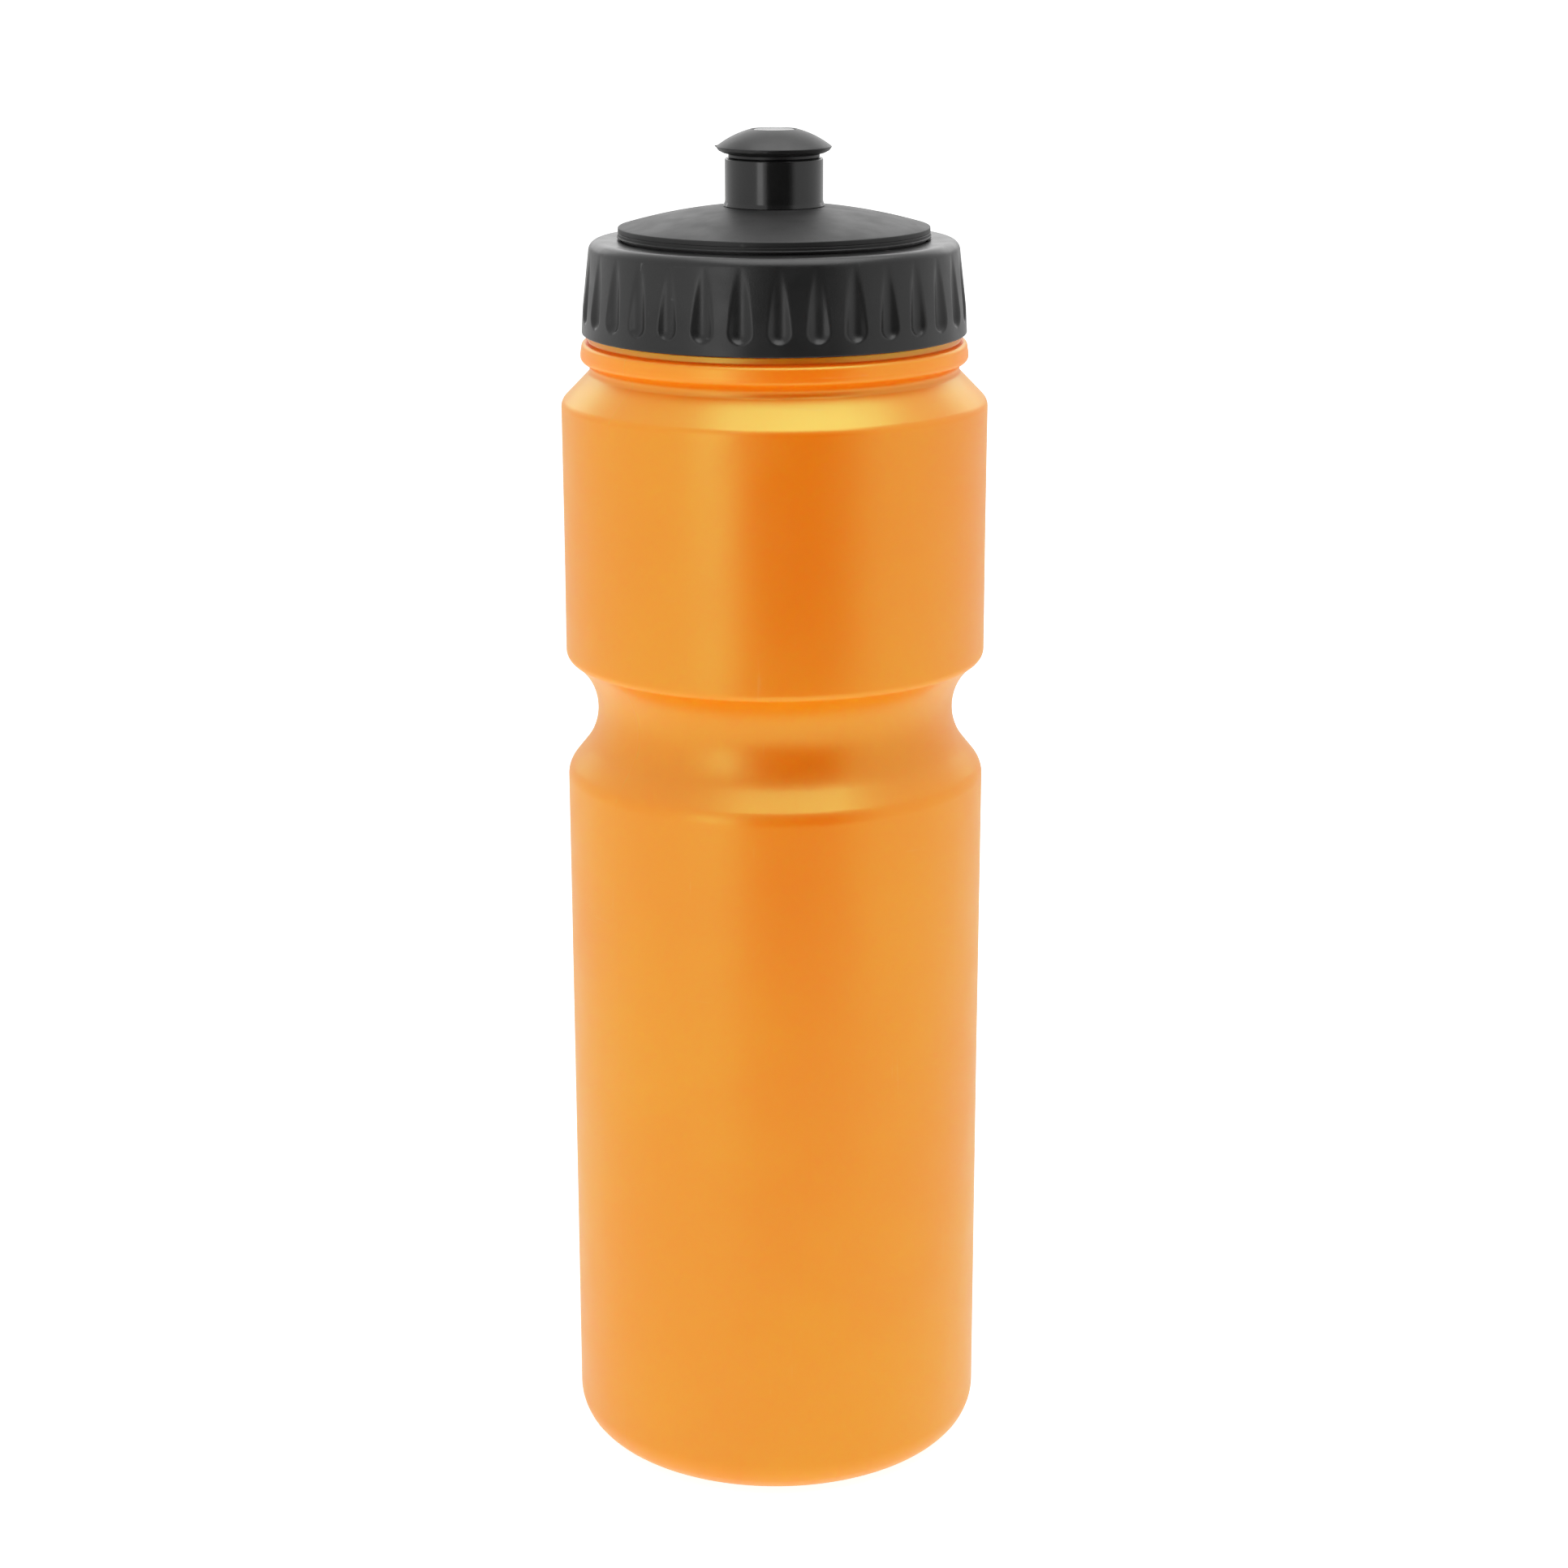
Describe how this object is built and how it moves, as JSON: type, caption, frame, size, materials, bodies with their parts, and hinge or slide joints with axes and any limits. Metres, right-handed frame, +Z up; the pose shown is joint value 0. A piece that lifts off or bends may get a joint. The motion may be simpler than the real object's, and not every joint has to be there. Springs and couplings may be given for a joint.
{
  "type": "sports squeeze bottle",
  "caption": "Squeezable sports bottle with a waisted body, a fluted screw collar, a domed lid and a push-pull drinking valve.",
  "frame": {"origin": "centre of the base, in the plane that the bottle stands on", "axes": "+Z up along the bottle's axis, -Y towards the front, +X to the right as seen from the front"},
  "size_m": [0.0742, 0.0742, 0.239],
  "materials": {
    "body_orange": "satin, slightly translucent soft polyethylene",
    "cap_black": "fine spark-eroded texture",
    "barrel_black": "polished",
    "valve_black": "smooth satin, soft",
    "gasket_natural": "matte",
    "seal_black": "matte"
  },
  "bodies": {
    "bottle": {"bottle_body": "body_orange"},
    "lid": {"dome_lid": "cap_black", "lid_gasket": "gasket_natural", "spout_barrel": "barrel_black", "seal_pin": "barrel_black"},
    "collar": {"screw_collar": "cap_black"},
    "valve": {"valve_stem": "barrel_black", "stem_o_ring": "seal_black", "mouthpiece": "valve_black"}
  },
  "joints": [
    {"name": "lid_lift", "type": "slide", "parent": "bottle", "child": "lid", "axis": [0, 0, 1], "range_m": [0, 0.01801]},
    {"name": "collar_twist", "type": "hinge", "parent": "lid", "child": "collar", "pos_m": [0, 0, 0.21], "axis": [0, 0, 1], "range_deg": [0, 1080]},
    {"name": "valve_slide", "type": "slide", "parent": "lid", "child": "valve", "axis": [0, 0, 1], "range_m": [0, 0.0065]}
  ],
  "couplings": [
    {"joint": "lid_lift", "follows": "collar_twist", "m_per_rad": 0.00095493}
  ]
}
